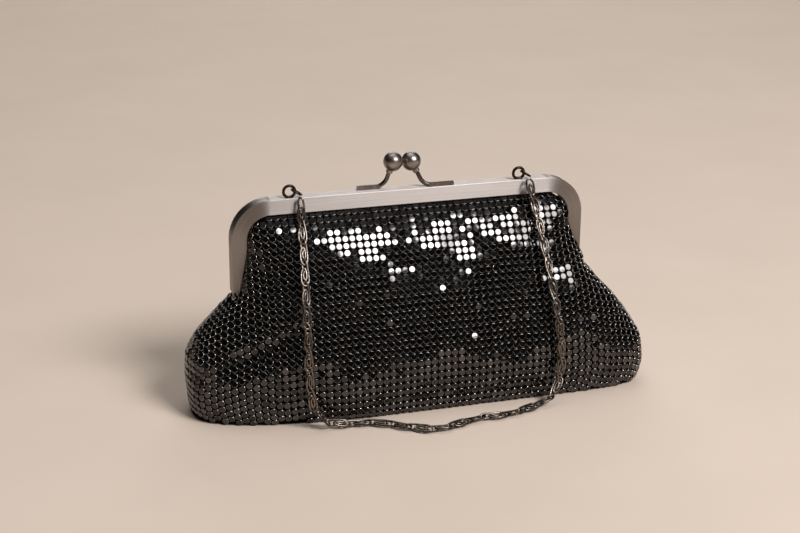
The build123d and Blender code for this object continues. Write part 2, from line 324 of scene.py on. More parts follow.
def antique_paint(name, worn):
    """Dark plated brass. worn makes the socket that says where the plating has rubbed bright."""
    paint = Paint(name).set(metallic=1.0)
    grain = paint.noise(900, detail=4.0)
    dark = paint.ramp(grain, (0.3, (0.018, 0.012, 0.009)), (0.75, (0.055, 0.037, 0.028)))
    bright = paint.ramp(grain, (0.3, (0.22, 0.175, 0.145)), (0.75, (0.50, 0.43, 0.38)))
    share = worn(paint)
    paint.join(paint.mixed(share, dark, bright), paint.shader.inputs["Base Color"])
    paint.join(paint.grey(grain, 0.20, 0.38), paint.shader.inputs["Roughness"])
    paint.bump(grain, 0.2, SCRATCH_DEPTH)
    return paint.material


def rubbed_by_noise(paint):
    """Half bright in scattered spots."""
    return paint.ramp(paint.noise(420, detail=3.0), (0.55, (0, 0, 0)), (0.75, (0.5, 0.5, 0.5)))


def rubbed_outside(paint):
    """Bright on the outer faces of the chain's wire, broken up by noise."""
    product = paint.add("ShaderNodeMath", operation="MULTIPLY")
    paint.join(paint.attribute("wear"), product.inputs[0])
    paint.join(paint.grey(paint.noise(500, detail=2.0), 0.35, 1.0), product.inputs[1])
    return product.outputs[0]


def satin_paint():
    """Black satin lining: a fine twill with a soft sheen, and painted shade and sheen of folds."""
    paint = Paint("black_satin").set(sheen_weight=0.35, sheen_roughness=0.4)
    wave = paint.add("ShaderNodeTexWave", scale=380.0, distortion=1.5, detail=2.0)
    paint.join(paint.place((1, 1, 1.6)), wave.inputs["Vector"])
    twill = wave.outputs["Fac"]
    # Painted shade and sheen of soft folds: cloudy darker and lighter patches in the satin's colour.
    fold_shade_and_sheen = paint.noise(45, detail=3.0)
    tone = paint.ramp(fold_shade_and_sheen, (0.3, (0.008, 0.008, 0.010)), (0.7, (0.024, 0.023, 0.027)))
    colour = paint.mixed(paint.grey(twill, 0.0, 0.4), tone, (0.045, 0.043, 0.048))
    paint.join(colour, paint.shader.inputs["Base Color"])
    paint.join(paint.grey(twill, 0.34, 0.52), paint.shader.inputs["Roughness"])
    paint.bump(twill, 0.25, FIBRE_DEPTH)
    return paint.material


def paper_paint(name, dark, light, scale):
    """Plain paper or board: fibres in two close tones."""
    paint = Paint(name)
    fibres = paint.noise(scale, stretch=(0.3, 1, 1), detail=6.0, roughness=0.7)
    paint.join(paint.ramp(fibres, (0.3, dark), (0.7, light)), paint.shader.inputs["Base Color"])
    paint.join(paint.grey(fibres, 0.75, 0.95), paint.shader.inputs["Roughness"])
    paint.bump(fibres, 0.4, FIBRE_DEPTH)
    return paint.material


def floor_paint():
    """Plain pale studio paper, with a barely visible unevenness."""
    paint = Paint("studio_paper")
    mottle = paint.noise(9, detail=5.0)
    colour = paint.ramp(mottle, (0.3, (0.70, 0.575, 0.475)), (0.7, (0.73, 0.60, 0.50)))
    paint.join(colour, paint.shader.inputs["Base Color"])
    paint.join(paint.grey(mottle, 0.80, 0.9), paint.shader.inputs["Roughness"])
    paint.bump(paint.noise(700, detail=2.0), 0.05, FIBRE_DEPTH)
    return paint.material


# ------------------------------------------------ mesh helpers

# A direction that no wire starts along. The sides of a wire are measured from it.
SLANT = (0.31, 0.22, 0.92)
NO_LENGTH = 1e-12


def make_mesh(name, points, faces, material, smooth=True, **attributes):
    """A mesh object from arrays of points and faces, with float attributes given point by point."""
    mesh = bpy.data.meshes.new(name)
    mesh.from_pydata(np.asarray(points).tolist(), [], [list(map(int, face)) for face in faces])
    mesh.update()
    mesh.materials.append(material)
    if smooth:
        mesh.polygons.foreach_set("use_smooth", [True] * len(mesh.polygons))
    for key, values in attributes.items():
        attribute = mesh.attributes.new(key, "FLOAT", "POINT")
        attribute.data.foreach_set("value", np.asarray(values, np.float32))
    return add_object(name, mesh)


def unit(vectors):
    """The same directions at length one. A vector of no length stays as it is."""
    return vectors / np.maximum(np.linalg.norm(vectors, axis=-1, keepdims=True), NO_LENGTH)


def nurbs_line(name, places, resolution):
    """Points read from the smooth NURBS spline that has these places as its control points."""
    curve = bpy.data.curves.new(name, "CURVE")
    curve.dimensions = "3D"
    curve.resolution_u = resolution
    spline = curve.splines.new("NURBS")
    spline.points.add(len(places) - 1)
    for point, place in zip(spline.points, places):
        point.co = (*place, 1)
    spline.order_u = 3
    spline.use_endpoint_u = True
    holder = add_object(name, curve)
    mesh = bpy.data.meshes.new_from_object(holder)
    line = np.array([v.co for v in mesh.vertices])
    bpy.data.objects.remove(holder)
    bpy.data.curves.remove(curve)
    bpy.data.meshes.remove(mesh)
    return line


def tube(line, radius, sides):
    """Points, faces and outward directions of a round wire along a line, closed at both ends."""
    along = unit(np.gradient(line, axis=0))
    across = np.zeros_like(line)
    across[0] = unit(np.cross(along[0], SLANT))
    for i in range(1, len(line)):
        across[i] = unit(across[i - 1] - along[i] * (across[i - 1] @ along[i]))
    upright = np.cross(along, across)
    angles = np.linspace(0, 2 * math.pi, sides, endpoint=False)
    outward = (
        across[:, None] * np.cos(angles)[None, :, None]
        + upright[:, None] * np.sin(angles)[None, :, None]
    )
    points = (line[:, None] + outward * radius).reshape(-1, 3)
    faces = []
    for i in range(len(line) - 1):
        for j in range(sides):
            k = (j + 1) % sides
            faces.append((i * sides + j, i * sides + k, (i + 1) * sides + k, (i + 1) * sides + j))
    last = (len(line) - 1) * sides
    faces.append(tuple(range(sides))[::-1])
    faces.append(tuple(range(last, last + sides)))
    return points, faces, outward.reshape(-1, 3)


# ------------------------------------------------ chain

CHAIN_STEPS = 24
LINK_PITCH = 11.4 * MM
LINK_WIRE = 0.58 * MM
LINK_STEPS = 5
LINK_SIDES = 8
# Each link is moved on by this much, so that the last one reaches its jump ring.
LINK_SHIFT = 1.2 * MM
# Links lean one way and the other in turn, give or take a random spread, in degrees.
LINK_LEAN = 10
LINK_LEAN_SPREAD = 9
# Below the first height a link lies flat on the floor, above the second it hangs against the bag.
LIES_BELOW, HANGS_ABOVE = 8 * MM, 20 * MM
LYING_FACES = np.array((0.0, -0.25, 1.0))
HANGING_FACES = np.array((0.0, -1.0, 0.35))
FLOOR_GAP = 0.15 * MM
CHAIN_SEED = 7
# How squarely the wire has to face out of the link for wear to start, and how much more for full wear.
WEAR_START, WEAR_RANGE = 0.55, 0.3
CHAIN_ROUTE = [
    (-0.0648, -0.0077, 0.1199),
    (-0.0650, -0.0089, 0.1095),
    (-0.0666, -0.0198, 0.0955),
    (-0.0688, -0.0318, 0.0750),
    (-0.0702, -0.0410, 0.0500),
    (-0.0704, -0.0442, 0.0280),
    (-0.0696, -0.0446, 0.0130),
    (-0.0600, -0.0449, 0.0026),
    (-0.0410, -0.0444, 0.0026),
    (-0.0250, -0.0520, 0.0026),
    (-0.0130, -0.0650, 0.0026),
    (0.0045, -0.0650, 0.0026),
    (0.0220, -0.0564, 0.0026),
    (0.0390, -0.0596, 0.0026),
    (0.0535, -0.0530, 0.0026),
    (0.0670, -0.0500, 0.0026),
    (0.0756, -0.0448, 0.0130),
    (0.0763, -0.0443, 0.0300),
    (0.0743, -0.0406, 0.0510),
    (0.0718, -0.0318, 0.0750),
    (0.0708, -0.0198, 0.0955),
    (0.0702, -0.0090, 0.1095),
    (0.0678, -0.0077, 0.1199),
]

# One scroll link, in millimetres: across, along and above its middle plane. The wire curls out of an
# inner scroll, runs round the foot of the link and closes in a hook over the link before it.
LINK_WIRE_ROUTE = [
    (0.1, 3.6, 0.45),
    (0.9, 4.6, 0.4),
    (1.0, 6.6, 0.3),
    (0.4, 8.6, 0.2),
    (-0.6, 8.4, 0.1),
    (-0.9, 6.0, 0.1),
    (-0.7, 3.2, 0.1),
    (0.3, 1.9, 0.1),
    (1.5, 3.0, 0.0),
    (2.1, 6.2, 0.0),
    (2.1, 9.6, 0.0),
    (0.8, 11.6, 0.0),
    (-0.9, 11.6, 0.0),
    (-2.1, 9.4, 0.0),
    (-2.0, 5.4, 0.1),
    (-1.5, 1.6, 0.5),
    (-0.9, -1.6, 0.9),
    (0.0, -2.7, 0.2),
    (0.9, -1.6, -0.8),
    (1.1, 1.0, -1.0),
    (0.6, 3.4, -0.8),
]


def link_axes(along, height, lean):
    """Across a link, along it, and out from the bag or the floor that it rests against."""
    lying = np.clip((HANGS_ABOVE - height) / (HANGS_ABOVE - LIES_BELOW), 0, 1)
    flat = HANGING_FACES * (1 - lying) + LYING_FACES * lying
    flat = unit(flat - along * (flat @ along))
    across = np.cross(along, flat)
    return np.array((
        across * math.cos(lean) - flat * math.sin(lean),
        along,
        flat * math.cos(lean) + across * math.sin(lean),
    ))


def chain_links(line, material):
    """Scroll links along the chain's line, each one straight and flat to what it rests against."""
    steps = np.r_[0, np.cumsum(np.linalg.norm(np.diff(line, axis=0), axis=1))]
    count = round(steps[-1] / LINK_PITCH)
    ends = np.linspace(0, steps[-1], count + 1)
    joints = np.stack([np.interp(ends, steps, line[:, i]) for i in range(3)], axis=1)
    wire = nurbs_line("link_wire", [Vector(p) * MM for p in LINK_WIRE_ROUTE], LINK_STEPS)
    shape, faces, outward = tube(wire, LINK_WIRE, LINK_SIDES)
    rubbed = np.clip((outward[:, 2] - WEAR_START) / WEAR_RANGE, 0, 1)
    draws = np.random.default_rng(CHAIN_SEED)
    points, all_faces, wear = [], [], []
    for k, (start, end) in enumerate(zip(joints[:-1], joints[1:])):
        along = unit(end - start)
        lean = math.radians(draws.normal(0, LINK_LEAN_SPREAD) + (LINK_LEAN if k % 2 else -LINK_LEAN))
        axes = link_axes(along, (start[2] + end[2]) / 2, lean)
        placed = shape @ axes + start + along * LINK_SHIFT
        placed[:, 2] += max(FLOOR_GAP - placed[:, 2].min(), 0)
        all_faces += [[i + len(points) * len(shape) for i in face] for face in faces]
        points.append(placed)
        wear.append(rubbed)
    joined = np.concatenate(points)
    return make_mesh("scroll_chain", joined, all_faces, material, wear=np.concatenate(wear))


def make_chain():
    """The scroll chain: fixed to both jump rings, and lying on the floor in front of the bag."""
    line = nurbs_line("chain_line", CHAIN_ROUTE, CHAIN_STEPS)
    chain = chain_links(line, antique_paint("antique_chain", rubbed_outside))
    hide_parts("chain")
    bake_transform(chain)


# ------------------------------------------------ the shape of the cloth

HEIGHT_STEP = 0.4
CLOTH_TOP = 111.0
HEIGHTS = np.arange(0, CLOTH_TOP + HEIGHT_STEP, HEIGHT_STEP)
ROWS = np.arange(len(HEIGHTS))

# Outlines in millimetres, as (height, value) points. The bag stands a little askew, as in the photograph:
# its left end is shorter and rounder than its right one. Beside the frame the two are alike.
FRAME_SIDE = ((70, 98), (92, 93.4), (98, 93.4), (102, 92.8), (105, 91.4), (108, 88.8), (111, 82.5))
HALF_WIDTH = {
    LEFT: ((0, 127), (8, 127.8), (22, 129), (34, 128), (45, 122), (59, 109), (64, 103.5), (67, 100.5)),
    RIGHT: ((0, 131), (5, 134), (14, 135.5), (28, 133.5), (41, 126.5), (49, 121), (59, 112), (66, 103.5)),
}
# How far the cloth swells out between the seam and the middle.
BULGE = {
    LEFT: ((0, 0), (111, 0)),
    RIGHT: ((60, 0), (68, 5), (76, 4.5), (86, 1.5), (96, 0)),
}
# How square an end is in plan: 2 is an ellipse.
FULLNESS = {
    LEFT: ((0, 2.6), (60, 2.8), (90, 3.6), (111, 4.5)),
    RIGHT: ((0, 8), (40, 6), (66, 6), (90, 5), (111, 5)),
}
HALF_DEPTH = {
    FRONT: ((0, 35.8), (3, 37.8), (9, 39.6), (17, 40.1), (24, 39.7), (30, 38.7), (36, 37.4), (45, 35.0),
            (58, 31.2), (66, 28.4), (76, 24.3), (89, 18.2), (98, 13.0), (104, 8.9), (108, 5.4), (111, 2.4)),
    REAR: ((0, 35.0), (4, 37.4), (14, 39.0), (24, 39.6), (36, 38.6), (47, 36), (60, 31.5),
           (68, 28.2), (78, 23.6), (90, 17.6), (100, 11.4), (108, 5.0), (111, 3.0)),
}
# How far the side seam stands from the middle plane. Above the hinges the bag's two sides part.
EDGE = ((0, 0), (58, 0), (66, 2.0), (111, 2.0))
# How many height steps each way the corners of an outline are rounded over, and how the bulge swells.
OUTLINE_SOFTNESS = 8
BULGE_POWER = 1.5

# Valleys in the cloth: start and end as (distance from the middle, height), width and depth.
CREASES = {
    FRONT: (
        ((-64, 105), (0, 80), 5.0, 0.6),
        ((-8, 106), (54, 78), 5.0, 0.6),
        ((30, 106), (88, 82), 4.0, 0.5),
        ((-34, 11), (104, 12), 3.2, 0.8),
        ((-92, 15), (-52, 14), 4.0, 1.0),
        ((-96, 92), (-70, 52), 7.0, 1.6),
        ((-116, 32), (-60, 54), 6.0, 2.2),
        ((88, 96), (112, 58), 7.0, 1.5),
        ((-150, 30), (-118, 22), 6.0, 1.2),
    ),
    REAR: (
        ((-60, 30), (40, 36), 5.0, 1.2),
        ((92, 94), (70, 56), 7.0, 1.5),
        ((-94, 92), (-108, 56), 7.0, 1.5),
    ),
}
# How a valley fades towards its ends: how fast, and how much of it is left there.
CREASE_FADE, CREASE_END = 3, 0.3

# Most ripples run level, the rest upright, and each is turned by up to RIPPLE_TURN radians.
RIPPLE_SEED = {FRONT: 3, REAR: 11}
RIPPLES = 12
RIPPLE_LENGTHS = (26, 70)
RIPPLE_TURN = 0.9
RIPPLES_LEVEL = 0.6
# The height of a ripple beside its length.
RIPPLE_STEEPNESS = 0.0048
# How near the seams, the frame and the base the cloth begins to be held still.
SEAM_HOLD, FRAME_HOLD, BASE_HOLD = 14, 12, 6


def outline(stations):
    """A smooth curve of height through (height, value) stations, at every one of HEIGHTS."""
    heights, values = zip(*stations)
    raw = np.interp(HEIGHTS, heights, values)
    padded = np.pad(raw, OUTLINE_SOFTNESS, mode="reflect", reflect_type="odd")
    weights = np.hanning(2 * OUTLINE_SOFTNESS + 3)[1:-1]
    return np.convolve(padded, weights / weights.sum(), mode="valid")


def ripples(seed, distance, height):
    """Gentle random waves of the cloth, mostly within a millimetre."""
    draws = np.random.default_rng(seed)
    total = 0
    for _ in range(RIPPLES):
        length = draws.uniform(*RIPPLE_LENGTHS)
        direction = draws.uniform(-RIPPLE_TURN, RIPPLE_TURN)
        direction += math.pi / 2 * (draws.random() < RIPPLES_LEVEL)
        phase = draws.uniform(0, 2 * math.pi)
        wave = 2 * math.pi / length * (distance * math.cos(direction) + height * math.sin(direction))
        total = total + np.sin(wave + phase) * length
    return total * RIPPLE_STEEPNESS


def crease(distance, height, start, end, width, depth):
    """A shallow valley along the line from start to end, fading at both ends."""
    run_x, run_y = end[0] - start[0], end[1] - start[1]
    length = math.hypot(run_x, run_y)
    along = ((distance - start[0]) * run_x + (height - start[1]) * run_y) / length**2
    off = ((distance - start[0]) * run_y - (height - start[1]) * run_x) / length
    fade = np.clip(np.minimum(along, 1 - along) * CREASE_FADE + CREASE_END, 0, 1)
    return -depth * np.exp(-((off / width) ** 2)) * fade


class Panel:
    """The front or rear cloth. Places on it are given as distance from the middle line, and height."""

    STEPS = 160
    NUDGE = 0.8

    def __init__(self, facing):
        self.facing = facing
        self.halves = {side: self.half(side) for side in (LEFT, RIGHT)}

    def half(self, side):
        """Distance, x and y along half of the outline in plan, one row for each of HEIGHTS."""
        depth, edge = outline(HALF_DEPTH[self.facing])[:, None], outline(EDGE)[:, None]
        power = 2 / outline(FULLNESS[side])[:, None]
        turn = np.linspace(0, math.pi / 2, self.STEPS)[None, :]
        drop = np.clip(np.cos(turn), 0, 1) ** power
        x = outline(HALF_WIDTH[side] + FRAME_SIDE)[:, None] * np.sin(turn) ** power
        x = x + outline(BULGE[side])[:, None] * np.sin(math.pi * drop).clip(0, 1) ** BULGE_POWER
        y = edge + (depth - edge) * drop
        steps = np.hypot(np.diff(x, axis=1), np.diff(y, axis=1))
        distance = np.concatenate([np.zeros((len(x), 1)), np.cumsum(steps, axis=1)], axis=1)
        return distance, x, y

    def reach(self, side):
        """Distance from the middle to the side seam, at every height."""
        return self.halves[side][0][:, -1]

    def cut(self):
        """Width, length and area, in metres, of the flat cloth that the panel is sewn from."""
        middle = self.surface(RIGHT, np.zeros((len(HEIGHTS), 1)))[:, 0]
        length = np.linalg.norm(np.diff(middle, axis=0), axis=1).sum() * MM
        widths = (self.reach(LEFT) + self.reach(RIGHT)) * MM
        return (widths.max(), length), widths.mean() * length

    def plan(self, side, distance):
        """x and y for distances from the middle, given as one row for each of HEIGHTS."""
        signs = np.array((side, self.facing))
        return np.array([
            np.stack((np.interp(wanted, known, x), np.interp(wanted, known, y)), axis=1) * signs
            for wanted, known, x, y in zip(distance, *self.halves[side])
        ])

    def waves(self, side, distance):
        """How far the cloth stands out or in. The frame, the seams and the base hold its edges still."""
        height = HEIGHTS[:, None]
        free = np.clip((self.reach(side)[:, None] - distance) / SEAM_HOLD, 0, 1)
        free = free * np.clip((CLOTH_TOP - height) / FRAME_HOLD, 0, 1) * np.clip(height / BASE_HOLD, 0, 1)
        total = ripples(RIPPLE_SEED[self.facing], side * distance, height)
        for line in CREASES[self.facing]:
            total = total + crease(side * distance, height, *line)
        return total * free

    def surface(self, side, distance, inset=0.0):
        """Points in millimetres, moved inwards by inset, one row for each of HEIGHTS."""
        run = unit(self.plan(side, distance + self.NUDGE) - self.plan(side, distance - self.NUDGE))
        outward = np.stack((run[..., 1], -run[..., 0]), axis=-1) * -side * self.facing
        plan = self.plan(side, distance) + outward * (self.waves(side, distance) - inset)[..., None]
        tall = np.broadcast_to(HEIGHTS[:, None, None], (*plan.shape[:2], 1))
        return np.concatenate([plan, tall], axis=2)


# ------------------------------------------------ discs

DISC_PITCH = 4.0
DISC_RADIUS = 1.92
DISC_SIDES = 12
# Rings of a disc from its crown outwards, as (share of the radius, height, how much of the painted rim
# highlight it takes).
DISC_RINGS = ((0.82, 0.34, 0.0), (0.94, 0.26, 1.0), (1.0, 0.0, 0.6))
DISC_CROWN = 0.35
# Every disc leans a little at random, and a few lean more.
DISC_LEAN, TIPPED_LEAN, TIPPED_SHARE = 0.030, 0.09, 0.10
# The first row hangs this share of a pitch below the frame.
FIRST_ROW = 0.42
# How far to each side of a disc the cloth is measured, to find which way it faces.
DISC_NUDGE = 0.9
# Discs keep this far inside the seam, the base and the top of the cloth.
SEAM_GAP, BASE_GAP, TOP_GAP = 0.8, 1.5, 1.0
# The room left round the hinge lugs and the frame's arms: from and to across the bag, above and below the
# hinge, and out from the middle plane at the lugs and at the arms.
ARM_SPAN = (97.6, 103.4)
HINGE_CLEAR = 5.5
LUG_OUT, ARM_OUT = 4.2, 4.6
DISC_SEED, BASE_SEED = 20, 5


def disc_shape():
    """Points of one disc in millimetres, its faces, and how much of the painted rim highlight each point
    takes.
    """
    angles = np.linspace(0, 2 * math.pi, DISC_SIDES, endpoint=False)
    points, rim, faces = [(0.0, 0.0, DISC_CROWN)], [0.0], []
    for share, height, edge in DISC_RINGS:
        radius = share * DISC_RADIUS
        points += [(radius * math.cos(a), radius * math.sin(a), height) for a in angles]
        rim += [edge] * DISC_SIDES
    for j in range(DISC_SIDES):
        k = (j + 1) % DISC_SIDES
        faces.append((0, 1 + j, 1 + k))
        for ring in range(len(DISC_RINGS) - 1):
            inner, outer = 1 + ring * DISC_SIDES, 1 + (ring + 1) * DISC_SIDES
            faces.append((inner + j, outer + j, outer + k, inner + k))
    return np.array(points), faces, np.array(rim)


def near_frame(points):
    """True for points so near the hinge lugs and arms that the cloth is slit there."""
    x, y, z = np.abs(points[..., 0]), np.abs(points[..., 1]), points[..., 2]
    above_hinge = z - HINGE_HEIGHT / MM
    at_lug = (np.abs(above_hinge) < HINGE_CLEAR) & (y < LUG_OUT)
    at_arm = (above_hinge > 0) & (y < ARM_OUT)
    return (x > ARM_SPAN[0]) & (x < ARM_SPAN[1]) & (at_lug | at_arm)


def at_rows(values, index):
    """Values given for each of HEIGHTS, read at fractional places in that list."""
    return np.stack([np.interp(index, ROWS, values[:, i]) for i in range(3)], axis=1)


def net_columns(reach):
    """Each column's distance from the middle, at every height, on a half panel that reaches this far.

    A whole number of columns fits the widest row, so that the last one stands half a pitch from the seam.
    Below that row they draw together, so that it stays there down to the base.
    """
    count = round(reach.max() / DISC_PITCH)
    share = np.where(ROWS < reach.argmax(), reach / reach.max(), 1.0)
    return [(number + 0.5) / count * reach.max() * share for number in range(count)]


def way_down(column, start, before):
    """How far down the cloth from the frame each point of a column is.

    Above the row at start the cloth doesn't reach this column, so it hangs from the one before it.
    """
    steps = np.linalg.norm(np.diff(column, axis=0), axis=1)
    down = before.copy()
    down[:start] = before[start] + np.cumsum(steps[:start][::-1])[::-1]
    return down


def disc_places(panel):
    """Centre, outward and sideways direction of each disc: a square net that hangs from the frame."""
    found = []
    for side in (LEFT, RIGHT):
        reach = panel.reach(side)
        down = np.zeros(len(HEIGHTS))
        for middle in net_columns(reach):
            line = panel.surface(side, middle[:, None] + np.array([-DISC_NUDGE, 0, DISC_NUDGE]))
            column, sideways = line[:, 1], (line[:, 2] - line[:, 0]) * side
            down = way_down(column, np.flatnonzero(reach >= middle).max(), down)
            hung = np.arange(FIRST_ROW * DISC_PITCH, down[0], DISC_PITCH)
            index = np.interp(hung, down[::-1], ROWS[::-1])
            drop = np.gradient(column, axis=0)
            centre, across, up = (at_rows(values, index) for values in (column, sideways, drop))
            across = unit(across)
            outward = unit(np.cross(across, up)) * -panel.facing
            room, height = np.interp(index, ROWS, reach - middle), centre[:, 2]
            on_cloth = (room > SEAM_GAP) & (height > BASE_GAP) & (height < CLOTH_TOP - TOP_GAP)
            found.append(np.stack([centre, outward, across], axis=1)[on_cloth & ~near_frame(centre)])
    return np.concatenate(found)


def make_discs(name, places, seed, material):
    """One piece with a disc at every place, each at its own slight angle."""
    shape, faces, rim = disc_shape()
    draws = np.random.default_rng(seed)
    count = len(places)
    centre, outward, across = places[:, 0], places[:, 1], places[:, 2]
    lean, tipped = draws.normal(0, DISC_LEAN, (count, 2)), draws.normal(0, TIPPED_LEAN, (count, 2))
    lean = lean + tipped * (draws.random((count, 1)) < TIPPED_SHARE)
    upward = np.cross(outward, across)
    outward = unit(outward + across * lean[:, :1] + upward * lean[:, 1:])
    across = unit(across - outward * (across * outward).sum(axis=1, keepdims=True))
    upward = np.cross(outward, across)
    axes = np.stack([across, upward, outward], axis=1)
    points = (centre[:, None] + shape @ axes) * MM
    all_faces = [tuple(k * len(shape) + i for i in face) for k in range(count) for face in faces]
    # A random tone for each disc, and the mask of the painted rim highlight.
    tone_and_rim_highlight = {"disc_tone": np.repeat(draws.random(count), len(shape)), "disc_rim_highlight": np.tile(rim, count)}
    made = make_mesh(name, points.reshape(-1, 3), all_faces, material, **tone_and_rim_highlight)
    # The crown's triangles are flat, and the four-sided faces round it are smooth.
    on_rim = [len(face) == 4 for face in faces]
    made.data.polygons.foreach_set("use_smooth", on_rim * count)
    return made


# ------------------------------------------------ cloth

SHELL_ROWS, SHELL_COLUMNS = 46, 48
# Below 1, so that the columns of a shell stand closer together towards its seams.
SHELL_CROWDING = 0.8
# Each layer in millimetres: how far inside the panel it starts, its thickness, lowest and top edge.
MESH_LAYER = (0.25, 0.5, 0.8, CLOTH_TOP)
LINING_LAYER = (2.0, 0.35, 3.4, CLOTH_TOP - 1)


def grid_faces(rows, columns):
    """Four-sided faces over a grid of points that are listed row by row."""
    return [
        (r * columns + c, r * columns + c + 1, (r + 1) * columns + c + 1, (r + 1) * columns + c)
        for r in range(rows - 1)
        for c in range(columns - 1)
    ]


def two_layers(faces, count):
    """The faces of a thin sheet: one layer, its underside count points further on, and the edges."""
    open_edges = set()
    for face in faces:
        for edge in zip(face, face[1:] + face[:1]):
            if edge[::-1] in open_edges:
                open_edges.remove(edge[::-1])
            else:
                open_edges.add(edge)
    underside = [tuple(i + count for i in face[::-1]) for face in faces]
    rim = [(b, a, a + count, b + count) for a, b in sorted(open_edges)]
    return faces + underside + rim


def make_shell(name, panel, layer, material):
    """A sheet with real thickness that follows a panel between two heights, slit to clear the frame."""
    inset, thickness, bottom, top = layer
    fractions = np.linspace(0, 1, SHELL_COLUMNS) ** SHELL_CROWDING
    rows = np.flatnonzero((HEIGHTS >= bottom) & (HEIGHTS <= top))
    rows = rows[np.linspace(0, len(rows) - 1, SHELL_ROWS).round().astype(int)]
    layers = []
    for depth in (inset, inset + thickness):
        halves = [
            panel.surface(side, fractions[None, :] * panel.reach(side)[:, None], depth)[rows]
            for side in (LEFT, RIGHT)
        ]
        layers.append(np.concatenate([halves[0][:, ::-1], halves[1][:, 1:]], axis=1))
    outer, inner = layers
    count = outer.shape[0] * outer.shape[1]
    faces = grid_faces(*outer.shape[:2])
    points = np.concatenate([outer.reshape(-1, 3), inner.reshape(-1, 3)])
    clear = [face for face in faces if not near_frame(points[list(face)].mean(axis=0))]
    return make_mesh(name, points * MM, two_layers(clear, count), material)


# The bottom of the bag, in millimetres. It lies inside the panels' lowest outline, a little off the floor.
RING_STEPS = 24
RING_INSET = 0.6
BASE_LIFT, BASE_THICKNESS = 1.0, 0.6
# The discs under the base: how much of it they cover, their grid, and the height of their backs.
BASE_COVER = 0.975
BASE_LENGTHWAYS = np.arange(-142, 143, DISC_PITCH)
BASE_CROSSWAYS = np.arange(-38, 39, DISC_PITCH)
BASE_DISC_HEIGHT = 0.55
# The stiff board: its size beside the base's outline, and its two faces.
BOARD_SHARE = 0.95
BOARD_LOW, BOARD_HIGH = 1.75, 3.0


def base_ring(panels):
    """The bag's lowest outline in plan, in millimetres, as one closed ring."""
    ring = []
    for panel, sides in ((panels[FRONT], (LEFT, RIGHT)), (panels[REAR], (RIGHT, LEFT))):
        for side in sides:
            distance = np.linspace(0, 1, RING_STEPS)[None, :] * panel.reach(side)[:, None]
            half = panel.surface(side, distance, RING_INSET)[0][:, :2]
            ring.append(half[::-1] if side == sides[0] else half[1:])
    return np.concatenate(ring)


def between_rings(count):
    """The faces that join a ring of count points to the ring of points after it."""
    return [(j, (j + 1) % count, count + (j + 1) % count, count + j) for j in range(count)]


def make_base(ring, disc_material, cloth_material):
    """The flat bottom: cloth inside the lowest outline, with discs below it."""
    count = len(ring)
    low = np.c_[ring, np.full(count, BASE_LIFT)]
    high = np.c_[ring, np.full(count, BASE_LIFT + BASE_THICKNESS)]
    points = np.concatenate([low, high, [low.mean(axis=0), high.mean(axis=0)]])
    underside = [(2 * count, (j + 1) % count, j) for j in range(count)]
    upper = [(2 * count + 1, count + j, count + (j + 1) % count) for j in range(count)]
    faces = underside + upper + between_rings(count)
    cloth = make_mesh("mesh_base_cloth", points * MM, faces, cloth_material, smooth=False)
    inside = ring * BASE_COVER
    x, y = np.meshgrid(BASE_LENGTHWAYS, BASE_CROSSWAYS)
    spots = np.stack([x.ravel(), y.ravel()], axis=1)
    spots = spots[[inside_ring(spot, inside) for spot in spots]]
    centre = np.c_[spots, np.full(len(spots), BASE_DISC_HEIGHT)]
    down = np.tile((0.0, 0.0, -1.0), (len(spots), 1))
    across = np.tile((1.0, 0.0, 0.0), (len(spots), 1))
    places = np.stack([centre, down, across], axis=1)
    discs = make_discs("mesh_base_discs", places, BASE_SEED, disc_material)
    for piece in (cloth, discs):
        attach(piece, "bag_body")
    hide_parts("base_mesh")


def inside_ring(spot, ring):
    """True if a point in plan lies inside the closed ring of points."""
    ahead = np.roll(ring, -1, axis=0)
    crosses = (ring[:, 1] > spot[1]) != (ahead[:, 1] > spot[1])
    rise = np.where(crosses, ahead[:, 1] - ring[:, 1], 1)
    at = ring[:, 0] + (spot[1] - ring[:, 1]) * (ahead[:, 0] - ring[:, 0]) / rise
    return bool((crosses & (spot[0] < at)).sum() % 2)


# Each panel's name, and the CAD nodes of its cloth that the drawn panel takes the place of.
PANEL_NAME = {FRONT: "front", REAR: "rear"}
PANEL_NODES = {
    FRONT: ("front_mesh_lower", "front_mesh_fold", "front_mesh_upper"),
    REAR: ("rear_mesh_lower", "rear_mesh_fold", "rear_mesh_upper", "left_mesh_end", "right_mesh_end"),
}


def make_panel(panel, discs, backing, satin):
    """One side of the bag: discs, the cloth behind them and the lining inside."""
    side = PANEL_NAME[panel.facing]
    places = disc_places(panel)
    pieces = {
        "black_mesh": [
            make_discs(f"mesh_{side}_discs", places, DISC_SEED + panel.facing, discs),
            make_shell(f"mesh_{side}_cloth", panel, MESH_LAYER, backing),
        ],
        "black_satin": [make_shell(f"lining_{side}", panel, LINING_LAYER, satin)],
    }
    for slot, members in pieces.items():
        for piece in members:
            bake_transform(piece)
    flat, area = panel.cut()
    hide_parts(*PANEL_NODES[panel.facing])
    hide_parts(f"{side}_lining_fold", f"{side}_lining_upper")


def make_board(ring, material):
    """The stiff board in the bottom, cut to the bag's own outline."""
    count = len(ring)
    low = np.c_[ring * BOARD_SHARE, np.full(count, BOARD_LOW)]
    high = np.c_[ring * BOARD_SHARE, np.full(count, BOARD_HIGH)]
    faces = [tuple(range(count))[::-1], tuple(range(count, 2 * count))] + between_rings(count)
    board = make_mesh("stiff_board", np.concatenate([low, high]) * MM, faces, material, smooth=False)
    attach(board, "bag_body")
    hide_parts("base_board")


# The bottom of the lining, in millimetres: how far it stays inside the panels, which of HEIGHTS it takes its
# outline from, its height in the middle, how much its edges rise and how late, and its thickness.
FLOOR_ROWS, FLOOR_COLUMNS = 15, 20
FLOOR_INSET = 2.6
FLOOR_OUTLINE_ROW = 9
FLOOR_HEIGHT, FLOOR_RISE, FLOOR_RISE_POWER = 3.3, 1.2, 4
FLOOR_THICKNESS = 0.25


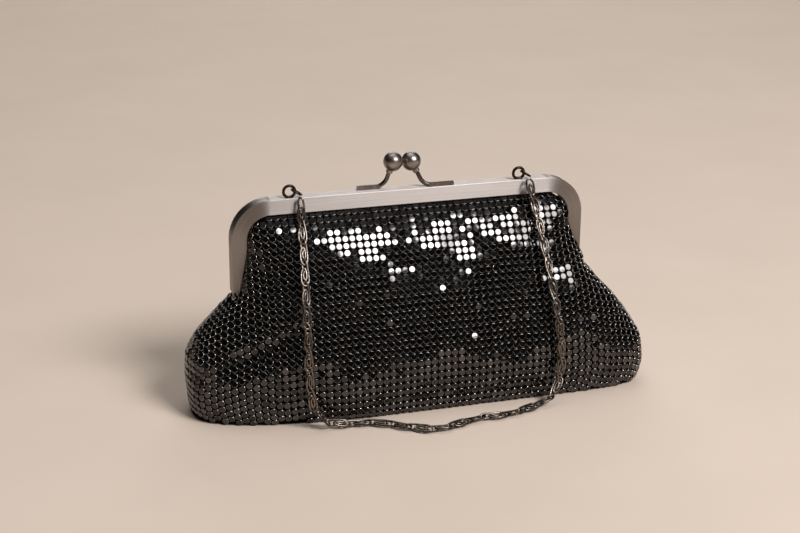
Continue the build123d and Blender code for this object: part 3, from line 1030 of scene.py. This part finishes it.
def make_lining_floor(panels, satin):
    """The bottom of the lining, slightly dished, over the stiff board."""
    shares = np.linspace(-1, 1, FLOOR_ROWS)
    rows = []
    for share in shares:
        panel = panels[REAR if share > 0 else FRONT]
        line = []
        for side in (LEFT, RIGHT):
            distance = np.linspace(0, 1, FLOOR_COLUMNS)[None, :] * panel.reach(side)[:, None]
            edge = panel.surface(side, distance, FLOOR_INSET)[FLOOR_OUTLINE_ROW]
            half = np.c_[edge[:, 0], edge[:, 1] * abs(share)]
            line.append(half[::-1] if side == LEFT else half[1:])
        rows.append(np.concatenate(line))
    rows = np.array(rows)
    rise = FLOOR_RISE * np.abs(shares) ** FLOOR_RISE_POWER
    height = np.broadcast_to((FLOOR_HEIGHT + rise)[:, None, None], (*rows.shape[:2], 1))
    upper = np.concatenate([rows, height], axis=2).reshape(-1, 3)
    points = np.concatenate([upper, upper - (0, 0, FLOOR_THICKNESS)]) * MM
    faces = two_layers(grid_faces(*rows.shape[:2]), len(upper))
    floor = make_mesh("lining_floor", points, faces, satin)
    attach(floor, "bag_body")
    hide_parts("lining_bag")


POCKET_ROWS, POCKET_COLUMNS = 14, 22
POCKET_THICKNESS = 0.5 * MM
# How far the middle of the pocket's open edge stands out and hangs down.
POCKET_GAPE, POCKET_DIP = 0.7 * MM, 2.0 * MM


def make_slip_pocket(satin):
    """A flat pocket on the rear lining. Its open edge gapes and dips a little in the middle."""
    low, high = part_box("slip_pocket")
    points = []
    for layer in (0.0, POCKET_THICKNESS):
        for v in np.linspace(0, 1, POCKET_ROWS):
            for u in np.linspace(0, 1, POCKET_COLUMNS):
                slack = math.sin(math.pi * u)
                x = low.x + (high.x - low.x) * u
                y = low.y - POCKET_GAPE * slack * v**2
                z = low.z + (high.z - low.z) * v - POCKET_DIP * slack * v**3
                points.append((x, y + layer, z))
    front = [face[::-1] for face in grid_faces(POCKET_ROWS, POCKET_COLUMNS)]
    faces = two_layers(front, POCKET_ROWS * POCKET_COLUMNS)
    pocket = make_mesh("lining_slip_pocket", points, faces, satin)
    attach(pocket, "bag_body")
    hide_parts("slip_pocket")


# ------------------------------------------------ the CAD parts


def paint_frame_parts():
    """Gives every CAD node that shows its own material."""
    nickel, pewter, polished = nickel_paint(), pewter_paint(), arm_paint()
    antique = antique_paint("antique_fittings", rubbed_by_noise)
    paper = paper_paint("paper_cord", (0.52, 0.45, 0.36), (0.72, 0.65, 0.54), 900)
    materials = {
        "frame": nickel,
        "hinge_rivet": nickel,
        "clasp_arm": polished,
        "clasp_ball": pewter,
        "frame_loop": antique,
        "jump_ring": antique,
        "paper_cord": paper,
    }
    for name, node in frame["nodes"].items():
        for ending, material in materials.items():
            if name.endswith(ending):
                node.data.materials.clear()
                node.data.materials.append(material)


# ------------------------------------------------ the studio

PAPER_REACH = 6.0
LIGHTS_AIM = Vector((0, 0, 0.07))
# The room's dim light, from level or below at 0 to straight up at 1. It is darkest not far above the
# horizon, which keeps the middle of the mesh black.
ROOM_LIGHT = (
    (0.0, (0.09, 0.085, 0.08)),
    (0.25, (0.02, 0.019, 0.018)),
    (0.75, (0.03, 0.029, 0.028)),
    (0.95, (0.4, 0.39, 0.38)),
)


def make_floor():
    """A wide sheet of pale paper."""
    corners = ((-1, -1, 0), (1, -1, 0), (1, 1, 0), (-1, 1, 0))
    points = np.array(corners) * PAPER_REACH
    floor = make_mesh("studio_floor", points, [(0, 1, 2, 3)], floor_paint(), smooth=False)


def make_light(name, turn, rise, distance, size, power):
    """A soft rectangular light, aimed at the bag. turn is degrees to the right of the bag's front."""
    light = bpy.data.lights.new(name, "AREA")
    light.shape = "RECTANGLE"
    light.size, light.size_y = size
    light.energy = power
    holder = add_object(name, light)
    turn, rise = math.radians(turn), math.radians(rise)
    back = Vector((math.sin(turn) * math.cos(rise), -math.cos(turn) * math.cos(rise), math.sin(rise)))
    holder.location = LIGHTS_AIM + back * distance
    holder.rotation_mode = "QUATERNION"
    holder.rotation_quaternion = (-back).to_track_quat("-Z", "Y")


def make_lights():
    """A soft key light and a strip from the front right, a wide light overhead and one behind."""
    make_light("key", turn=25, rise=41, distance=2.6, size=(0.85, 0.8), power=58)
    make_light("strip", turn=42, rise=36, distance=2.8, size=(0.35, 0.7), power=10)
    make_light("overhead", turn=180, rise=74, distance=2.2, size=(1.6, 1.6), power=10)
    make_light("behind", turn=162, rise=24, distance=2.8, size=(1.8, 0.7), power=14)


def make_room():
    """The dim light of the room round the bag, and colours shown as they are."""
    world = bpy.data.worlds.new("studio")
    bpy.context.scene.world = world
    world.use_nodes = True
    nodes, links = world.node_tree.nodes, world.node_tree.links
    place = nodes.new("ShaderNodeTexCoord")
    split = nodes.new("ShaderNodeSeparateXYZ")
    ramp = nodes.new("ShaderNodeValToRGB")
    set_stops(ramp, ROOM_LIGHT)
    links.new(place.outputs["Generated"], split.inputs["Vector"])
    links.new(split.outputs["Z"], ramp.inputs["Fac"])
    links.new(ramp.outputs["Color"], nodes["Background"].inputs["Color"])
    bpy.context.scene.view_settings.view_transform = "Standard"


# ------------------------------------------------ everything together


def build():
    """The bag on its floor, lit and seen as in the photograph."""
    make_camera()
    make_chain()
    panels = {facing: Panel(facing) for facing in (FRONT, REAR)}
    discs, backing, satin = disc_paint(), backing_paint(), satin_paint()
    for panel in panels.values():
        make_panel(panel, discs, backing, satin)
    ring = base_ring(panels)
    make_base(ring, discs, backing)
    make_board(ring, paper_paint("grey_board", (0.22, 0.20, 0.18), (0.34, 0.31, 0.28), 600))
    make_lining_floor(panels, satin)
    make_slip_pocket(satin)
    paint_frame_parts()
    make_floor()
    make_lights()
    make_room()


build()
